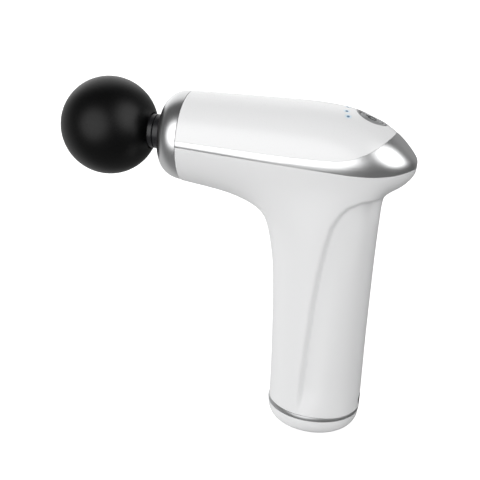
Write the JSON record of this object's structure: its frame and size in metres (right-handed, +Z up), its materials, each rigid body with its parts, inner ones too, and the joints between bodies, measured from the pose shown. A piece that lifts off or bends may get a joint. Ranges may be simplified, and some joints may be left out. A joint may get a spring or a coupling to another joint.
{
  "type": "massage gun",
  "caption": "Handheld percussion massage gun: ball head on a sliding piston, crank drive and motor in a T-shaped white shell, battery in the grip, power button on the tail slope.",
  "frame": {"origin": "centre of the flat foot that the grip stands on", "axes": "+Z up the grip, -X along the barrel to the ball head, +Y to the gun's right side as held"},
  "size_m": [0.1819, 0.05, 0.167],
  "materials": {
    "white_shell": "satin white moulded ABS",
    "satin_silver": "satin silver plated trim",
    "black_foam": "matte closed-cell foam",
    "black_plastic": "black nylon",
    "grey_button": "grey button cap",
    "blue_light": "clear blue light pipe",
    "steel": "machined steel",
    "aluminium": "die-cast aluminium",
    "brass": "sintered bronze bushing",
    "copper": "enamelled copper winding",
    "rubber": "black rubber",
    "board_green": "green circuit board",
    "cell_wrap": "wrapped steel battery cell",
    "lead_red": "red insulated lead"
  },
  "bodies": {
    "body": {"base_cap": "white_shell", "base_ring": "satin_silver", "battery_cell_1": "cell_wrap", "battery_cell_2": "cell_wrap", "battery_cell_3": "cell_wrap", "battery_lead_black": "rubber", "battery_lead_red": "lead_red", "button_bezel": "satin_silver", "button_board": "board_green", "button_ribbon": "rubber", "button_switch": "black_plastic", "cell_holder_lower": "black_plastic", "cell_holder_upper": "black_plastic", "charge_board": "board_green", "charge_jack": "black_plastic", "charge_jack_pin": "steel", "control_board": "board_green", "drive_frame": "aluminium", "front_seal": "rubber", "guide_bushing_front": "brass", "guide_bushing_rear": "brass", "guide_sleeve": "aluminium", "indicator_light_1": "blue_light", "indicator_light_2": "blue_light", "indicator_light_3": "blue_light", "indicator_light_4": "blue_light", "indicator_light_5": "blue_light", "left_housing": "white_shell", "main_harness": "rubber", "motor_bearing_lower": "steel", "motor_bearing_upper": "steel", "motor_mount": "aluminium", "motor_screw_1": "steel", "motor_screw_2": "steel", "motor_screw_3": "steel", "motor_screw_4": "steel", "nickel_link_lower": "steel", "nickel_link_upper": "steel", "nose_ring": "satin_silver", "right_housing": "white_shell", "stator_core": "steel", "tail_trim": "satin_silver", "top_cover": "white_shell", "winding_lower": "copper", "winding_upper": "copper"},
    "head": {"massage_ball": "black_foam", "head_stem": "black_plastic", "head_o_ring": "rubber"},
    "plunger": {"piston": "black_plastic", "wrist_pin": "steel"},
    "rod": {"connecting_rod": "aluminium", "crank_bearing": "steel"},
    "rotor": {"crank_disc": "steel", "crank_pin": "steel", "motor_shaft": "steel", "rotor_bell": "steel", "magnet_ring": "steel"},
    "button": {"power_button": "grey_button"}
  },
  "joints": [
    {"name": "motor_spin", "type": "hinge", "parent": "body", "child": "rotor", "pos_m": [0, 0, 0.134], "axis": [0, 0, 1], "continuous": true},
    {"name": "head_stroke", "type": "slide", "parent": "body", "child": "plunger", "axis": [-1, 0, 0], "range_m": [0, 0.01]},
    {"name": "rod_swing", "type": "hinge", "parent": "plunger", "child": "rod", "pos_m": [-0.037, 0, 0.142], "axis": [0, 0, 1], "range_deg": [-7, 7]},
    {"name": "head_release", "type": "slide", "parent": "plunger", "child": "head", "axis": [-1, 0, 0], "range_m": [0, 0.022]},
    {"name": "power_button_press", "type": "slide", "parent": "body", "child": "button", "axis": [-0.3469, 0, -0.9379], "range_m": [0, 0.0006], "stiffness_N_per_m": 2200}
  ]
}
